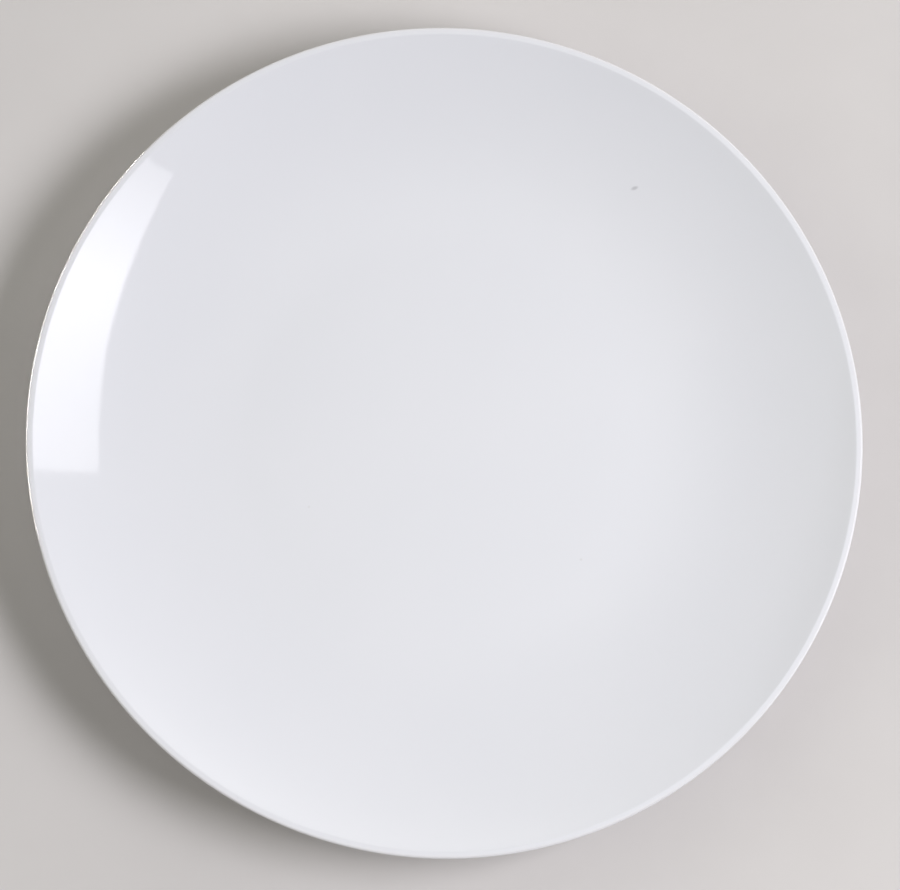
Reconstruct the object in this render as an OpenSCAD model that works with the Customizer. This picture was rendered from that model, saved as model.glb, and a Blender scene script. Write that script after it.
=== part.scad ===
// Coupe dinner plate in glazed porcelain, lying on its foot ring.
// Origin: on the plate's axis, at the height of the bearing face. +Z is up. Millimetres.

/* [Plate] */
// Diameter over the lip
plate_d = 270; // [250:1:300]
// Height from the bearing face to the top of the lip
plate_h = 25; // [22:0.5:30]

/* [Well and wall] */
// Diameter of the flat middle of the well, where the curve of the wall begins
well_flat_d = 126; // [110:1:140]
// Thickness in the middle of the well, glaze included
middle_t = 4.8; // [4:0.1:6]
// Thickness of the lip, glaze included, and the diameter of its round inner side and underside
lip_t = 3.4; // [2.8:0.1:4.4]
// Radius of the lip's tighter upper outer edge
lip_edge_r = 0.8; // [0.6:0.1:1.2]

/* [Foot ring] */
// Diameter of the foot ring, at the middle of its bearing face
foot_d = 160; // [150:1:180]
// Height of the foot ring, which is also the depth of the well inside it
foot_h = 3; // [2.6:0.1:3.6]
// Width of the flat bearing face
bearing_w = 1.6; // [1:0.1:2.4]
// Radius of the bearing face's two rounded edges
bearing_edge_r = 0.6; // [0.4:0.1:0.8]
// Lean of the foot's outer flank, in degrees from upright
outer_lean = 18; // [10:1:25]
// Lean of the foot's inner flank, in degrees from upright
inner_lean = 32; // [25:1:40]
// Fillet between the outer flank and the back of the wall
outer_fillet_r = 2.5; // [1.5:0.1:3]
// Fillet between the inner flank and the roof of the foot well
inner_fillet_r = 2; // [1.2:0.1:2]

/* [Glaze] */
// Thickness of the glaze
glaze_t = 0.25; // [0.2:0.05:0.35]
// How far above the rounded edges of the bearing face the glaze stops
bare_flank_h = 0.3; // [0.2:0.05:0.5]

/* [Hidden] */
$fn = 200;
body_colour = [0.91, 0.89, 0.85];
glaze_colour = [0.90, 0.905, 0.92];

plate_r = plate_d / 2;
flat_r = well_flat_d / 2;
foot_r = foot_d / 2;
lip_r = lip_t / 2;
lip_land_w = lip_r - lip_edge_r; // of the level top, and of the upright outside
face_z = foot_h + middle_t; // height of the flat middle, on the glaze
heart_z = foot_h + middle_t / 2; // a height inside the clay, over the foot
bare_h = bearing_edge_r + bare_flank_h; // height at which the glaze stops

// The lip is a circle, filled out to a tighter edge at its upper outer corner. The face's arc
// leaves the flat middle without a corner and touches the circle from above. The back's arc
// starts at the same radius and holds the circle inside it.
lip_c = [plate_r - lip_r, plate_h - lip_r];
run = lip_c.x - flat_r;
face_rise = lip_c.y - face_z;
back_rise = lip_c.y - foot_h;
face_arc_r = (run * run + face_rise * face_rise - lip_r * lip_r) / (2 * (face_rise + lip_r));
back_arc_r = (run * run + back_rise * back_rise - lip_r * lip_r) / (2 * (back_rise - lip_r));
face_c = [flat_r, face_z + face_arc_r];
back_c = [flat_r, foot_h + back_arc_r];

function unit(v) = v / norm(v);

// A flank of the foot is a straight line that touches the rounded edge of the bearing face.
// side is 1 for the outer flank and -1 for the inner one.
function edge_c(side) = [foot_r + side * bearing_w / 2, bearing_edge_r];
function flank_out(side, lean) = [side * cos(lean), -sin(lean)]; // square to it, into the air
function flank_up(side, lean) = [side * sin(lean), cos(lean)]; // along it, upwards
function flank_gap(fillet_r) = bearing_edge_r + glaze_t + fillet_r; // edge centre to fillet centre

// The outer fillet's centre lies on a line beside the flank, and outside the back's arc
// by its own radius. The lower of the two crossings is the one at the foot.
outer_start = edge_c(1) + flank_gap(outer_fillet_r) * flank_out(1, outer_lean) - back_c;
outer_along = outer_start * flank_up(1, outer_lean);
outer_reach = back_arc_r + outer_fillet_r;
outer_climb = -outer_along
    - sqrt(outer_along * outer_along - outer_start * outer_start + outer_reach * outer_reach);
outer_fillet_c = back_c + outer_start + outer_climb * flank_up(1, outer_lean);

// The inner fillet's centre lies under the flat roof of the foot well by its own radius.
inner_start = edge_c(-1) + flank_gap(inner_fillet_r) * flank_out(-1, inner_lean);
inner_climb = (foot_h - inner_fillet_r - inner_start.y) / cos(inner_lean);
inner_fillet_c = inner_start + inner_climb * flank_up(-1, inner_lean);

echo(face_arc_r = face_arc_r, back_arc_r = back_arc_r);
echo(wall_angle_at_lip = asin(run / (face_arc_r + lip_r)));
echo(outer_fillet_c = outer_fillet_c, inner_fillet_c = inner_fillet_c);

// Every section below takes a skin: 0 draws the glazed surface, and glaze_t draws the
// fired clay that lies that far under it.

// The flat middle, which runs out level to the foot ring.
module middle_section(skin) {
    translate([0, foot_h + skin])
        square([foot_r, middle_t - 2 * skin]);
}

// The curved wall between the two arcs, cut off through the middle of the lip.
module wall_section(skin) {
    past_lip = lip_c + lip_t * unit(lip_c - back_c);
    difference() {
        intersection() {
            translate(back_c) circle(back_arc_r - skin);
            polygon([[flat_r, 0], [past_lip.x, 0], past_lip, lip_c, face_c]);
        }
        translate(face_c) circle(face_arc_r + skin);
    }
}

module lip_section(skin) {
    reach = lip_r - skin;
    translate(lip_c) {
        circle(reach);
        square([lip_land_w, reach]);
        square([reach, lip_land_w]);
        translate([lip_land_w, lip_land_w]) circle(lip_edge_r - skin);
    }
}

// The foot ring, from its flat bearing face up into the clay, with its two fillets.
module foot_section(skin) {
    edge_r = bearing_edge_r + glaze_t - skin;
    outer_r = outer_fillet_r + skin;
    inner_r = inner_fillet_r + skin;
    difference() {
        polygon([
            [edge_c(-1).x, 0],
            [edge_c(1).x, 0],
            edge_c(1) + edge_r * flank_out(1, outer_lean),
            outer_fillet_c - outer_r * flank_out(1, outer_lean),
            outer_fillet_c,
            outer_fillet_c + (outer_r + middle_t / 2) * unit(back_c - outer_fillet_c),
            inner_fillet_c + [0, inner_r + middle_t / 2],
            inner_fillet_c,
            inner_fillet_c - inner_r * flank_out(-1, inner_lean),
            edge_c(-1) + edge_r * flank_out(-1, inner_lean)
        ]);
        translate(outer_fillet_c) circle(outer_r);
        translate(inner_fillet_c) circle(inner_r);
    }
}

module plate_section(skin) {
    middle_section(skin);
    wall_section(skin);
    lip_section(skin);
    foot_section(skin);
}

// The glaze covers everything above the height at which it was wiped off the foot.
module glaze_section() {
    difference() {
        plate_section(0);
        plate_section(glaze_t);
        square([plate_r, bare_h]);
    }
}

// The space that the foot ring encloses, up into the clay.
module foot_well_zone() {
    square([foot_r, heart_z]);
}

// Fired clay in one piece, from the middle to the lip, with the foot ring and its bare,
// flat bearing face.
module porcelain_body() {
    color(body_colour)
        rotate_extrude() {
            plate_section(glaze_t);
            translate(edge_c(1)) circle(bearing_edge_r);
            translate(edge_c(-1)) circle(bearing_edge_r);
        }
}

// One unbroken coat over the face, round the lip and down the back to the outer flank.
module outer_glaze() {
    color(glaze_colour)
        rotate_extrude()
            difference() {
                glaze_section();
                foot_well_zone();
            }
}

// The coat inside the foot ring, which the bare bearing face keeps apart from the other.
module foot_well_glaze() {
    color(glaze_colour)
        rotate_extrude()
            intersection() {
                glaze_section();
                foot_well_zone();
            }
}

porcelain_body();
outer_glaze();
foot_well_glaze();
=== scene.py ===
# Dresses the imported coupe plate: two coats of glaze round the bare clay, on a plain pale floor.
# Metres throughout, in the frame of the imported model: the plate's axis is Z, its foot stands on z = 0.
from math import atan2, cos, pi, radians, sin, sqrt

import bpy
import numpy as np
from mathutils import Matrix, Vector


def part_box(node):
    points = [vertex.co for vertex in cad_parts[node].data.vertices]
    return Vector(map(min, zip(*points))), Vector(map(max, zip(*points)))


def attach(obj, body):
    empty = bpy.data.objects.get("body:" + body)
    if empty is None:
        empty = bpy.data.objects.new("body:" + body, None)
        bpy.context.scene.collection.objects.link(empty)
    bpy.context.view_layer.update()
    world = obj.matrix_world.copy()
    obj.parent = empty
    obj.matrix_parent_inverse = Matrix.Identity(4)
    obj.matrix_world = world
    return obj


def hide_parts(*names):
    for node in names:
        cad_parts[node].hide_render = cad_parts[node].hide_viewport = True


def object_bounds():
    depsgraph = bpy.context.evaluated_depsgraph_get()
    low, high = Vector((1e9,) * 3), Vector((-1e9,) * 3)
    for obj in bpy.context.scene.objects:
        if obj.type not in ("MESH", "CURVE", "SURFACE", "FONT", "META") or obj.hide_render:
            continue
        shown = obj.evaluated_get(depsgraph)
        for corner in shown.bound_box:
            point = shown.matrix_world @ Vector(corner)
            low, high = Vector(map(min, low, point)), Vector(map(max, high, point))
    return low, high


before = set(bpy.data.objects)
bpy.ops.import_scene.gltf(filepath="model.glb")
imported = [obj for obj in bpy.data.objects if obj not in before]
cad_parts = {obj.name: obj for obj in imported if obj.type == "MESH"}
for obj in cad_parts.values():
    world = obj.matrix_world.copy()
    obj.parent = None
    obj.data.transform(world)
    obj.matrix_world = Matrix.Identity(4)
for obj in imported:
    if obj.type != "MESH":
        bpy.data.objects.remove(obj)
cadLow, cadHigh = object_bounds()
print("frame loaded:", ", ".join(sorted(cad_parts)))

scene = bpy.context.scene
scene.view_settings.view_transform = "Standard"

mm = 0.001

# The plate's own sizes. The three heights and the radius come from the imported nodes.
plateSizes = {
    "radius": cadHigh.x,                             # over the lip
    "height": cadHigh.z,                             # from the bearing face to the top of the lip
    "flatRadius": 63 * mm,                           # where the wall's curve begins
    "faceHeight": 7.8 * mm,                          # of the flat middle, on the glaze
    "footHeight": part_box("foot_well_glaze")[1].z - 0.25 * mm,   # of the roof inside the foot ring
    "lipRound": 1.7 * mm,                            # of the lip's inner side and underside
    "lipEdge": 0.8 * mm,                             # of its tighter upper outer edge
    "footRadius": 80 * mm,                           # middle of the bearing face
    "bearingHalf": 0.8 * mm,
    "edgeRound": 0.6 * mm,
    "outerLean": radians(18),
    "innerLean": radians(32),
    "outerFillet": 2.5 * mm,
    "innerFillet": 2.0 * mm,
    "glaze": 0.25 * mm,
    "glazeEnd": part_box("outer_glaze")[0].z,          # where the glaze was wiped off the foot
}


# Helpers for profiles: every point is (distance from the axis, height).

def unit(v):
    return v / np.hypot(*v)


# Points spaced evenly on a straight line, without its last one.
def straight(start, end, count):
    t = np.arange(count)[:, None] / count
    return np.asarray(start) * (1 - t) + np.asarray(end) * t


# Points on an arc about a centre, from one direction to another in radians, without the last one.
def arc(centre, radius, fromAngle, toAngle, count):
    a = fromAngle + (toAngle - fromAngle) * np.arange(count) / count
    return np.asarray(centre) + radius * np.column_stack([np.cos(a), np.sin(a)])


def direction(v):
    return atan2(v[1], v[0])


# The circles and lines that the plate's section is made of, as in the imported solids. The lip is a
# circle with a tighter upper outer edge, the face's arc leaves the flat middle level and touches the
# circle from above, and the back's arc starts over the same radius and holds the lip inside it.
def plateSection(p):
    lipCentre = np.array([p["radius"] - p["lipRound"], p["height"] - p["lipRound"]])
    run = lipCentre[0] - p["flatRadius"]
    faceRise = lipCentre[1] - p["faceHeight"]
    backRise = lipCentre[1] - p["footHeight"]
    lip = p["lipRound"]
    faceArc = (run ** 2 + faceRise ** 2 - lip ** 2) / (2 * (faceRise + lip))
    backArc = (run ** 2 + backRise ** 2 - lip ** 2) / (2 * (backRise - lip))
    faceCentre = np.array([p["flatRadius"], p["faceHeight"] + faceArc])
    backCentre = np.array([p["flatRadius"], p["footHeight"] + backArc])

    # A flank touches the rounded edge of the bearing face, and its fillet lies beside it.
    def flank(side, lean):
        out = np.array([side * cos(lean), -sin(lean)])
        up = np.array([side * sin(lean), cos(lean)])
        edge = np.array([p["footRadius"] + side * p["bearingHalf"], p["edgeRound"]])
        return edge, out, up

    edge, out, up = flank(1, p["outerLean"])
    start = edge + (p["edgeRound"] + p["glaze"] + p["outerFillet"]) * out - backCentre
    reach = backArc + p["outerFillet"]
    along = start @ up
    climb = -along - sqrt(along ** 2 - start @ start + reach ** 2)
    outerFillet = backCentre + start + climb * up

    edgeIn, outIn, upIn = flank(-1, p["innerLean"])
    startIn = edgeIn + (p["edgeRound"] + p["glaze"] + p["innerFillet"]) * outIn
    innerFillet = startIn + (p["footHeight"] - p["innerFillet"] - startIn[1]) / upIn[1] * upIn
    return {
        "lipCentre": lipCentre, "faceCentre": faceCentre, "backCentre": backCentre,
        "faceArc": faceArc, "backArc": backArc,
        "outerFillet": outerFillet, "outerOut": out, "outerUp": up,
        "innerFillet": innerFillet, "innerOut": outIn, "innerUp": upIn,
    }


section = plateSection(plateSizes)


# The outer coat's line at a depth under the glaze's surface, from the axis over the lip to the
# place on the foot's flank where the glaze ends. Round stretches are arcs about the section's
# centres, and two short straight lands join the lip's circle to its tighter edge.
def outerLine(depth, counts):
    p, s = plateSizes, section
    lipC, faceC, backC, filletC = s["lipCentre"], s["faceCentre"], s["backCentre"], s["outerFillet"]
    lipTop = direction(faceC - lipC)
    lipBack = direction(lipC - backC)
    faceEnd = direction(lipC - faceC)
    filletTop = direction(backC - filletC)
    filletEnd = direction(-s["outerOut"])
    lipR, edgeR = p["lipRound"] - depth, p["lipEdge"] - depth
    corner = p["lipRound"] - p["lipEdge"]
    edgeC = lipC + corner
    backEnd = direction(filletC - backC)
    filletR = p["outerFillet"] + depth
    flankTop = filletC - filletR * s["outerOut"]
    flankEnd = flankTop + (p["glazeEnd"] - flankTop[1]) / s["outerUp"][1] * s["outerUp"]
    face = p["faceHeight"] - depth
    return np.vstack([
        straight([0, face], [p["flatRadius"], face], counts["middle"]),
        arc(faceC, s["faceArc"] + depth, -pi / 2, faceEnd, counts["wall"]),
        arc(lipC, lipR, lipTop, pi / 2, counts["lip"]),
        straight(lipC + [0, lipR], edgeC + [0, edgeR], counts["land"]),
        arc(edgeC, edgeR, pi / 2, 0, counts["edge"]),
        straight(edgeC + [edgeR, 0], lipC + [lipR, 0], counts["land"]),
        arc(lipC, lipR, 0, lipBack, counts["lip"]),
        arc(backC, s["backArc"] - depth, lipBack, backEnd, counts["back"]),
        arc(filletC, filletR, filletTop, filletEnd, counts["fillet"]),
        straight(flankTop, flankEnd, counts["flank"]),
        [flankEnd],
    ])


# The coat inside the foot ring, from the axis along the roof of the foot well and down the inner flank.
def wellLine(depth, counts):
    p, s = plateSizes, section
    filletC, filletR = s["innerFillet"], p["innerFillet"] + depth
    roof = p["footHeight"] + depth
    flankTop = filletC - filletR * s["innerOut"]
    flankEnd = flankTop + (p["glazeEnd"] - flankTop[1]) / s["innerUp"][1] * s["innerUp"]
    return np.vstack([
        straight([0, roof], [filletC[0], roof], counts["middle"]),
        arc(filletC, filletR, pi / 2, direction(-s["innerOut"]), counts["fillet"]),
        straight(flankTop, flankEnd, counts["flank"]),
        [flankEnd],
    ])


# A closed coat: the surface line, a round bead where the glaze ends, and the clay-side line back.
# The bead is a half circle about the middle of the gap between the two ends.
def coatProfile(surfaceLine, clayLine, beadSteps):
    end, back = surfaceLine[-1], clayLine[-1]
    middle, half = (end + back) / 2, (end - back) / 2
    t = pi * np.arange(1, beadSteps)[:, None] / beadSteps
    down = np.array([0, -np.hypot(*half)])
    lift = np.array([0, np.hypot(*half)])
    bead = middle + lift + half * np.cos(t) + down * np.sin(t)
    return np.vstack([surfaceLine[:-1], [end + lift], bead, [back + lift], clayLine[-2::-1]])


# A solid of revolution: point (r, z) of the profile at turn a goes to (r cos a, r sin a, z), then
# moves by what sway gives for it. Both ends of the profile lie on the axis, where the rings close
# to one point.
def revolve(name, profile, steps, sway):
    turns = np.arange(steps) * 2 * pi / steps
    rings = profile[1:-1]
    a, r = np.meshgrid(turns, rings[:, 0])
    z = np.repeat(rings[:, 1][:, None], steps, axis=1)
    x, y = r * np.cos(a), r * np.sin(a)
    body = np.stack([x, y, z], axis=-1)
    body = body + sway(x, y, z)
    poles = np.array([[0, 0, profile[0, 1]], [0, 0, profile[-1, 1]]])
    points = np.vstack([body.reshape(-1, 3), poles])

    ringCount = len(rings)
    first, second = ringCount * steps, ringCount * steps + 1
    i = np.arange(steps)
    j = (i + 1) % steps
    k = np.arange(ringCount - 1)[:, None] * steps
    quads = np.stack([k + i, k + steps + i, k + steps + j, k + j], axis=-1).reshape(-1, 4)
    cap = np.stack([np.full(steps, first), i, j], axis=-1)
    last = (ringCount - 1) * steps
    base = np.stack([np.full(steps, second), last + j, last + i], axis=-1)

    mesh = bpy.data.meshes.new(name)
    mesh.from_pydata(points.tolist(), [], cap.tolist() + quads.tolist() + base.tolist())
    mesh.polygons.foreach_set("use_smooth", np.ones(len(mesh.polygons), bool))
    mesh.update()
    piece = bpy.data.objects.new(name, mesh)
    scene.collection.objects.link(piece)
    return piece


# Fired porcelain is never quite true. The wall rises and falls by a few hundredths of a millimetre:
# a sum of waves that run round the plate and drift with the radius, faded out at the middle and lip.
waviness = {
    "height": 0.018 * mm, "drift": 34 * mm,
    "fadeIn": (30 * mm, 62 * mm), "fadeOut": (122 * mm, 131 * mm),
    # strength, waves round the plate, drift and start of each
    "waves": ((1, 3, 1, 0.7), (0.7, 5, -2.1, 2.0), (0.35, 11, 3.3, 4.1), (0.22, 19, -5, 0)),
}


# 0 below the low value, 1 above the high one, and 3 t squared less 2 t cubed on the way.
def smoothStep(low, high, value):
    t = np.clip((value - low) / (high - low), 0, 1)
    return t * t * (3 - 2 * t)


def wallSway(x, y, z):
    w = waviness
    r, a = np.hypot(x, y), np.arctan2(y, x)
    waves = sum(strength * np.sin(count * a + drift * r / w["drift"] + start)
                for strength, count, drift, start in w["waves"])
    fade = smoothStep(*w["fadeIn"], r) * (1 - smoothStep(*w["fadeOut"], r))
    lift = w["height"] * fade * waves
    return np.stack([0 * lift, 0 * lift, lift], axis=-1)


def noSway(x, y, z):
    return np.zeros(x.shape + (3,))


# Steps round the plate, steps over the bead, and steps along each stretch of the two lines.
outerCoat = {
    "steps": 384, "bead": 6,
    "surface": {"middle": 20, "wall": 44, "lip": 9, "land": 4, "edge": 12, "back": 32,
                "fillet": 9, "flank": 5},
    "clay": {"middle": 8, "wall": 20, "lip": 6, "land": 1, "edge": 5, "back": 18,
             "fillet": 6, "flank": 3},
}
outerProfile = coatProfile(outerLine(0, outerCoat["surface"]),
                           outerLine(plateSizes["glaze"], outerCoat["clay"]), outerCoat["bead"])
outerGlazeCoat = revolve("outerGlazeCoat", outerProfile, outerCoat["steps"], wallSway)

wellCoat = {
    "steps": 288, "bead": 6,
    "surface": {"middle": 26, "fillet": 10, "flank": 4},
    "clay": {"middle": 12, "fillet": 6, "flank": 3},
}
wellProfile = coatProfile(wellLine(0, wellCoat["surface"]),
                          wellLine(plateSizes["glaze"], wellCoat["clay"]), wellCoat["bead"])
footWellCoat = revolve("footWellCoat", wellProfile, wellCoat["steps"], noSway)
footWellCoat.data.flip_normals()
print("coats made:", len(outerGlazeCoat.data.polygons), "and", len(footWellCoat.data.polygons), "faces")

for piece, node in ((outerGlazeCoat, "outer_glaze"), (footWellCoat, "foot_well_glaze")):
    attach(piece, "root")
    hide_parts(node)


# Materials

def addNode(tree, kind, values=None, **settings):
    node = tree.nodes.new(kind)
    for key, value in settings.items():
        setattr(node, key, value)
    for key, value in (values or {}).items():
        node.inputs[key].default_value = value
    return node


def join(tree, source, output, target, socket):
    tree.links.new(source.outputs[output], target.inputs[socket])


# Soft clouds in two sizes, from 0 to 1: fractal noise through a range map.
def makeCloudGroup():
    group = bpy.data.node_groups.new("softClouds", "ShaderNodeTree")
    for name, kind, start in (("Vector", "NodeSocketVector", None), ("Scale", "NodeSocketFloat", 20.0),
                              ("Low", "NodeSocketFloat", 0.35), ("High", "NodeSocketFloat", 0.65)):
        socket = group.interface.new_socket(name=name, in_out="INPUT", socket_type=kind)
        if start is not None:
            socket.default_value = start
    group.interface.new_socket(name="Mask", in_out="OUTPUT", socket_type="NodeSocketFloat")
    enter = group.nodes.new("NodeGroupInput")
    leave = group.nodes.new("NodeGroupOutput")
    noise = addNode(group, "ShaderNodeTexNoise", {"Detail": 3.0, "Roughness": 0.5})
    span = addNode(group, "ShaderNodeMapRange", interpolation_type="SMOOTHSTEP")
    join(group, enter, "Vector", noise, "Vector")
    join(group, enter, "Scale", noise, "Scale")
    join(group, noise, "Fac", span, "Value")
    join(group, enter, "Low", span, "From Min")
    join(group, enter, "High", span, "From Max")
    join(group, span, "Result", leave, "Mask")
    return group


# Small round specks scattered in cells, 1 at a speck's middle and 0 outside it: the distance to the
# nearest cell point is compared with a speck size, and a cell's own random value thins them out.
def makeSpeckGroup():
    group = bpy.data.node_groups.new("fineSpecks", "ShaderNodeTree")
    for name, kind, start in (("Vector", "NodeSocketVector", None), ("Scale", "NodeSocketFloat", 100.0),
                              ("Size", "NodeSocketFloat", 0.1), ("Keep", "NodeSocketFloat", 0.1)):
        socket = group.interface.new_socket(name=name, in_out="INPUT", socket_type=kind)
        if start is not None:
            socket.default_value = start
    group.interface.new_socket(name="Mask", in_out="OUTPUT", socket_type="NodeSocketFloat")
    enter = group.nodes.new("NodeGroupInput")
    leave = group.nodes.new("NodeGroupOutput")
    cells = addNode(group, "ShaderNodeTexVoronoi")
    span = addNode(group, "ShaderNodeMapRange", {"From Min": 0.0, "To Min": 1.0, "To Max": 0.0},
                   interpolation_type="SMOOTHSTEP")
    split = addNode(group, "ShaderNodeSeparateColor")
    pick = addNode(group, "ShaderNodeMath", operation="LESS_THAN")
    both = addNode(group, "ShaderNodeMath", operation="MULTIPLY")
    join(group, enter, "Vector", cells, "Vector")
    join(group, enter, "Scale", cells, "Scale")
    join(group, cells, "Distance", span, "Value")
    join(group, enter, "Size", span, "From Max")
    join(group, cells, "Color", split, "Color")
    join(group, split, "Red", pick, 0)
    join(group, enter, "Keep", pick, 1)
    join(group, span, "Result", both, 0)
    join(group, pick, "Value", both, 1)
    join(group, both, "Value", leave, "Mask")
    return group


softClouds = makeCloudGroup()
fineSpecks = makeSpeckGroup()


def placeGroup(tree, group, coords, values):
    node = addNode(tree, "ShaderNodeGroup", node_tree=group)
    for key, value in values.items():
        node.inputs[key].default_value = value
    join(tree, coords, "Object", node, "Vector")
    return node


# Blends from one colour to another as a mask goes from 0 to 1.
def blendColours(tree, mask, maskOutput, low, high):
    mix = addNode(tree, "ShaderNodeMix", {6: (*low, 1), 7: (*high, 1)}, data_type="RGBA")
    join(tree, mask, maskOutput, mix, 0)
    return mix


# Mixes towards a colour where a mask is 1.
def tintBy(tree, mask, maskOutput, base, baseOutput, colour, amount):
    strength = addNode(tree, "ShaderNodeMath", {1: amount}, operation="MULTIPLY")
    join(tree, mask, maskOutput, strength, 0)
    mix = addNode(tree, "ShaderNodeMix", {7: (*colour, 1)}, data_type="RGBA")
    join(tree, strength, "Value", mix, 0)
    join(tree, base, baseOutput, mix, 6)
    return mix


def placeClouds(tree, coords, scale, span):
    return placeGroup(tree, softClouds, coords, {"Scale": scale, "Low": span[0], "High": span[1]})


# Bends the shader's normal as a surface raised by a mask would, by up to the given distance.
def raiseBy(tree, mask, distance, shader):
    bump = addNode(tree, "ShaderNodeBump", {"Strength": 1.0, "Distance": distance})
    join(tree, mask, "Mask", bump, "Height")
    join(tree, bump, "Normal", shader, "Normal")


def newMaterial(name):
    material = bpy.data.materials.new(name)
    material.use_nodes = True
    tree = material.node_tree
    return material, tree, tree.nodes["Principled BSDF"], addNode(tree, "ShaderNodeTexCoord")


glazeLook = {
    "white": (0.743, 0.747, 0.784), "cloud": (0.736, 0.741, 0.779),
    "cloudScale": 18.0, "cloudSpan": (0.35, 0.65),
    "speck": (0.42, 0.40, 0.36), "speckAmount": 0.25,
    "speckScale": 90.0, "speckSize": 0.06, "speckKeep": 0.05,
    "roughness": (0.035, 0.060), "ior": 1.5,
    "bump": 0.02 * mm, "bumpScale": 60.0,
    # the lip's colour: clay under thinning glaze, and a painted glow, a little lighter, for light through
    # the translucent lip
    "lipClayAndPaintedGlow": (0.770, 0.753, 0.775), "lipClayAndGlowAmount": 0.8,
    "lipStart": 133.6 * mm, "lipEnd": 134.9 * mm,
    "scuff": (0.52, 0.52, 0.55), "scuffAmount": 0.9, "scuffCore": 0.2,
    "scuffAt": (62.4 * mm, 84.5 * mm, 13.8 * mm), "scuffTurn": radians(18),
    "scuffSize": (1.7 * mm, 0.85 * mm, 3 * mm),
}


def makeGlaze(g):
    material, tree, shader, coords = newMaterial("clearWhiteGlaze")
    clouds = placeClouds(tree, coords, g["cloudScale"], g["cloudSpan"])
    white = blendColours(tree, clouds, "Mask", g["white"], g["cloud"])

    # iron specks
    specks = placeGroup(tree, fineSpecks, coords,
                        {"Scale": g["speckScale"], "Size": g["speckSize"], "Keep": g["speckKeep"]})
    specked = tintBy(tree, specks, "Mask", white, 2, g["speck"], g["speckAmount"])

    # the glaze thins at the lip, and the less blue clay shows; the lip is also painted a little lighter, a
    # painted glow that stands in for light shining through the thin translucent lip
    parts = addNode(tree, "ShaderNodeVectorMath", {1: (1, 1, 0)}, operation="MULTIPLY")
    radius = addNode(tree, "ShaderNodeVectorMath", operation="LENGTH")
    lip = addNode(tree, "ShaderNodeMapRange", {"From Min": g["lipStart"], "From Max": g["lipEnd"]})
    join(tree, coords, "Object", parts, 0)
    join(tree, parts, "Vector", radius, 0)
    join(tree, radius, "Value", lip, "Value")
    tinted = tintBy(tree, lip, "Result", specked, 2, g["lipClayAndPaintedGlow"], g["lipClayAndGlowAmount"])

    # one short scuff on the wall
    place = addNode(tree, "ShaderNodeMapping",
                    {"Location": g["scuffAt"], "Rotation": (0, 0, g["scuffTurn"]), "Scale": g["scuffSize"]},
                    vector_type="TEXTURE")
    far = addNode(tree, "ShaderNodeVectorMath", operation="LENGTH")
    scuff = addNode(tree, "ShaderNodeMapRange",
                    {"From Min": g["scuffCore"], "From Max": 1.0, "To Min": 1.0, "To Max": 0.0},
                    interpolation_type="SMOOTHSTEP")
    join(tree, coords, "Object", place, "Vector")
    join(tree, place, "Vector", far, 0)
    join(tree, far, "Value", scuff, "Value")
    scuffed = tintBy(tree, scuff, "Result", tinted, 2, g["scuff"], g["scuffAmount"])
    join(tree, scuffed, 2, shader, "Base Color")

    rough = addNode(tree, "ShaderNodeMapRange", {"To Min": g["roughness"][0], "To Max": g["roughness"][1]})
    join(tree, clouds, "Mask", rough, "Value")
    join(tree, rough, "Result", shader, "Roughness")

    ripple = placeClouds(tree, coords, g["bumpScale"], (0.0, 1.0))
    raiseBy(tree, ripple, g["bump"], shader)
    shader.inputs["IOR"].default_value = g["ior"]
    return material


clayLook = {
    "pale": (0.78, 0.75, 0.69), "dark": (0.70, 0.665, 0.60),
    "cloudScale": 60.0, "cloudSpan": (0.3, 0.7),
    "grain": (0.55, 0.52, 0.47), "grainAmount": 0.45,
    "grainScale": 900.0, "grainSize": 0.35, "grainKeep": 0.25,
    "wear": (0.42, 0.41, 0.40), "wearAmount": 0.45,
    "wearTop": 0.35 * mm, "wearScale": 110.0, "wearSpan": (0.42, 0.62),
    "roughness": 0.82, "wornRoughness": 0.62, "bump": 0.04 * mm, "ior": 1.5,
}


def makeBareClay(c):
    material, tree, shader, coords = newMaterial("bareFiredClay")
    clouds = placeClouds(tree, coords, c["cloudScale"], c["cloudSpan"])
    pale = blendColours(tree, clouds, "Mask", c["pale"], c["dark"])
    grain = placeGroup(tree, fineSpecks, coords,
                       {"Scale": c["grainScale"], "Size": c["grainSize"], "Keep": c["grainKeep"]})
    grained = tintBy(tree, grain, "Mask", pale, 2, c["grain"], c["grainAmount"])

    # grey wear where the bearing face has slid over tables
    split = addNode(tree, "ShaderNodeSeparateXYZ")
    low = addNode(tree, "ShaderNodeMapRange",
                  {"From Min": 0.0, "From Max": c["wearTop"], "To Min": 1.0, "To Max": 0.0})
    patches = placeClouds(tree, coords, c["wearScale"], c["wearSpan"])
    worn = addNode(tree, "ShaderNodeMath", operation="MULTIPLY")
    join(tree, coords, "Object", split, "Vector")
    join(tree, split, "Z", low, "Value")
    join(tree, low, "Result", worn, 0)
    join(tree, patches, "Mask", worn, 1)
    rubbed = tintBy(tree, worn, "Value", grained, 2, c["wear"], c["wearAmount"])
    join(tree, rubbed, 2, shader, "Base Color")

    rough = addNode(tree, "ShaderNodeMapRange", {"To Min": c["roughness"], "To Max": c["wornRoughness"]})
    join(tree, worn, "Value", rough, "Value")
    join(tree, rough, "Result", shader, "Roughness")
    raiseBy(tree, grain, c["bump"], shader)
    shader.inputs["IOR"].default_value = c["ior"]
    return material


def dress(piece, material):
    if not piece.material_slots:
        piece.data.materials.append(material)
    for slot in piece.material_slots:
        slot.material = material


clearGlaze = makeGlaze(glazeLook)
dress(outerGlazeCoat, clearGlaze)
dress(footWellCoat, clearGlaze)
dress(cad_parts["porcelain_body"], makeBareClay(clayLook))
print("materials placed")


# The floor and the light

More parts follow.
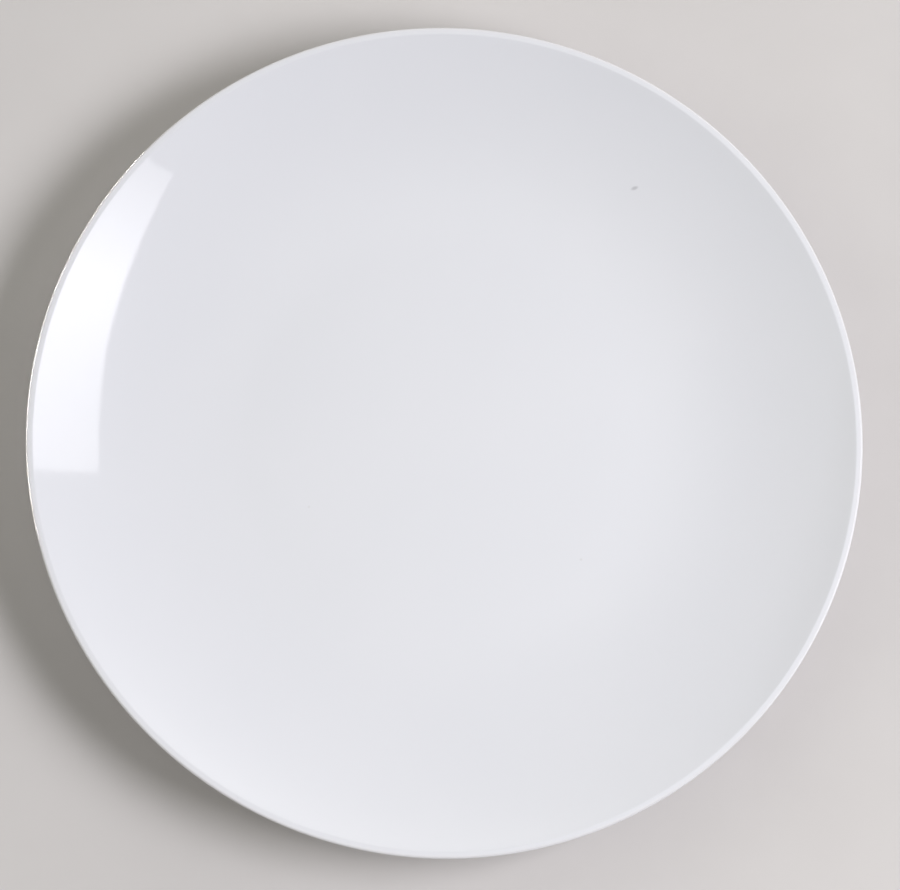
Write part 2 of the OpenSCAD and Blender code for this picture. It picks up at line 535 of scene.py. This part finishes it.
floorLook = {
    "halfSide": 4.0,
    "colour": (0.636, 0.612, 0.602), "cloud": (0.625, 0.601, 0.591),
    "cloudScale": 30.0, "cloudSpan": (0.3, 0.7),
    "roughness": 0.9, "specular": 0.0,
}


def makeFloor(f):
    mesh = bpy.data.meshes.new("paleFloor")
    s = f["halfSide"]
    mesh.from_pydata([(-s, -s, 0), (s, -s, 0), (s, s, 0), (-s, s, 0)], [], [(0, 1, 2, 3)])
    floor = bpy.data.objects.new("paleFloor", mesh)
    scene.collection.objects.link(floor)
    material, tree, shader, coords = newMaterial("palePaper")
    clouds = placeClouds(tree, coords, f["cloudScale"], f["cloudSpan"])
    mix = blendColours(tree, clouds, "Mask", f["colour"], f["cloud"])
    join(tree, mix, 2, shader, "Base Color")
    shader.inputs["Roughness"].default_value = f["roughness"]
    shader.inputs["Specular IOR Level"].default_value = f["specular"]
    dress(floor, material)


makeFloor(floorLook)


# An upright soft box stands to the right. It is two lamps in one place: its glow shows in the glaze,
# and its spill doesn't. The rest of the room is pale boards, each a soft lobe of light round one
# direction, given as its turn round the plate, its height above the floor, how narrow it is, and
# its strength.
lightSetup = {
    "softBox": {"toward": radians(-4), "distance": 0.80, "left": -0.404, "right": 0.340,
                "bottom": 0.614, "top": 1.298, "colour": (0.987, 0.983, 1.024)},
    # Its bright middle and how fast it fades to both sides. Its right end leans in towards the
    # bottom, and its top slopes down to the left.
    "glow": {"power": 10.0, "middle": 0.42, "fadeLeft": 0.66, "fadeRight": 0.55,
             "leanTop": 1.0, "leanBottom": 0.895, "topLeft": 0.945, "topRight": 1.0},
    "spill": {"power": 14.75},
    # A low strip of light to the left, which shows in the glaze and lights nothing else. It makes
    # the thin white line along the lip's edge.
    "strip": {"toward": radians(160), "distance": 1.0, "width": 1.15, "bottom": 0.05, "top": 0.22,
              "radiance": 66.0, "colour": (1.0, 0.96, 0.92)},
    "room": {
        "colour": (0.995, 0.993, 0.93),
        "lobes": {   # turn, height, narrow (power of the cosine), strength
            "boardLeft": (radians(178), radians(24), 6, 1.7),
            "boardBack": (radians(92), radians(20), 24, 1.9),
            "boardBackRight": (radians(55), radians(20), 24, 2.6),
            "boardFront": (radians(281), radians(5), 24, 1.75),
            "ceilingLeft": (radians(225), radians(65), 24, 0.25),
            "ceiling": (0, radians(90), 24, 0.9),
        },
    },
}


# A rectangular area light at a place, sending its light along a direction.
def addLamp(name, place, along, size, power, colour):
    light = bpy.data.lights.new(name, "AREA")
    light.shape = "RECTANGLE"
    light.size, light.size_y = size
    light.energy = power
    light.color = colour
    lamp = bpy.data.objects.new(name, light)
    scene.collection.objects.link(lamp)
    lamp.location = place
    lamp.rotation_euler = Vector(along).to_track_quat("-Z", "Y").to_euler()
    lamp.visible_camera = False
    return lamp


# An upright lamp at a turn round the plate, facing its axis. Its width runs from left to right
# across that direction.
def addUpright(name, b, left, right, power):
    away = Vector((cos(b["toward"]), sin(b["toward"]), 0))
    side = Vector((-away.y, away.x, 0))
    lift = Vector((0, 0, (b["top"] + b["bottom"]) / 2))
    place = away * b["distance"] + side * (left + right) / 2 + lift
    return addLamp(name, place, -away, (right - left, b["top"] - b["bottom"]), power, b["colour"])


def addSoftBox(name, power):
    b = lightSetup["softBox"]
    return addUpright(name, b, b["left"], b["right"], power)


# The glow over the lamp's own face, where across and up run from 0 to 1: bright in the middle, less
# towards either side, and nothing past the leaning end and the sloping top.
def shadeGlow(lamp, g):
    lamp.data.use_nodes = True
    tree = lamp.data.node_tree
    emission = tree.nodes["Emission"]
    face = addNode(tree, "ShaderNodeNewGeometry")
    split = addNode(tree, "ShaderNodeSeparateXYZ")
    join(tree, face, "Parametric", split, "Vector")
    fall = addNode(tree, "ShaderNodeFloatCurve")
    curve = fall.mapping.curves[0]
    curve.points[0].location = (0, 1 - g["fadeLeft"])
    curve.points[1].location = (1, 1 - g["fadeRight"])
    curve.points.new(g["middle"], 1).handle_type = "VECTOR"
    fall.mapping.update()
    join(tree, split, "X", fall, "Value")
    lit = fall
    limits = (("Y", "X", "leanBottom", "leanTop"), ("X", "Y", "topLeft", "topRight"))
    for along, across, start, stop in limits:
        end = addNode(tree, "ShaderNodeMapRange", {"To Min": g[start], "To Max": g[stop]})
        inside = addNode(tree, "ShaderNodeMath", operation="LESS_THAN")
        both = addNode(tree, "ShaderNodeMath", operation="MULTIPLY")
        join(tree, split, along, end, "Value")
        join(tree, split, across, inside, 0)
        join(tree, end, "Result", inside, 1)
        join(tree, lit, "Value", both, 0)
        join(tree, inside, "Value", both, 1)
        lit = both
    join(tree, lit, "Value", emission, "Strength")


shadeGlow(addSoftBox("glow", lightSetup["glow"]["power"]), lightSetup["glow"])
addSoftBox("spill", lightSetup["spill"]["power"]).visible_glossy = False


# The strip's power is its radiance times pi and its area.
def addStrip(s):
    power = s["radiance"] * pi * s["width"] * (s["top"] - s["bottom"])
    addUpright("strip", s, -s["width"] / 2, s["width"] / 2, power).visible_diffuse = False


addStrip(lightSetup["strip"])


# The sum of the lobes: each is the cosine of the angle from its own direction, raised to a power.
def lightRoom(room):
    world = bpy.data.worlds.new("room")
    scene.world = world
    world.use_nodes = True
    tree = world.node_tree
    background = tree.nodes["Background"]
    background.inputs["Color"].default_value = (*room["colour"], 1)
    coords = addNode(tree, "ShaderNodeTexCoord")
    total = None
    for turn, height, narrow, strength in room["lobes"].values():
        toward = (cos(turn) * cos(height), sin(turn) * cos(height), sin(height))
        near = addNode(tree, "ShaderNodeVectorMath", {1: toward}, operation="DOT_PRODUCT")
        front = addNode(tree, "ShaderNodeMath", {1: 0.0}, operation="MAXIMUM")
        lobe = addNode(tree, "ShaderNodeMath", {1: narrow}, operation="POWER")
        lit = addNode(tree, "ShaderNodeMath", {1: strength, 2: 0.0}, operation="MULTIPLY_ADD")
        join(tree, coords, "Generated", near, 0)
        join(tree, near, "Value", front, 0)
        join(tree, front, "Value", lobe, 0)
        join(tree, lobe, "Value", lit, 0)
        if total:
            join(tree, total, "Value", lit, 2)
        total = lit
    join(tree, total, "Value", background, "Strength")


lightRoom(lightSetup["room"])


# The camera looks almost straight down, and leans a little to the lower left.
cameraSetup = {
    "lean": radians(8.0), "leanTo": (-0.399, -0.917), "distance": 1.2,
    "aim": (1.03 * mm, -2.43 * mm, 24.2 * mm), "lens": 149.0, "sensor": 36.0,
}


def addCamera(c):
    camera = bpy.data.cameras.new("camera")
    camera.lens = c["lens"]
    camera.sensor_width = c["sensor"]
    eye = bpy.data.objects.new("camera", camera)
    scene.collection.objects.link(eye)
    tilt = sin(c["lean"])
    back = Vector((c["leanTo"][0] * tilt, c["leanTo"][1] * tilt, cos(c["lean"]))).normalized()
    right = Vector((0, 1, 0)).cross(back).normalized()
    up = back.cross(right)
    turn = Matrix((right, up, back)).transposed()
    eye.matrix_world = Matrix.Translation(Vector(c["aim"]) + back * c["distance"]) @ turn.to_4x4()
    scene.camera = eye


addCamera(cameraSetup)
print("floor, lights and camera placed")
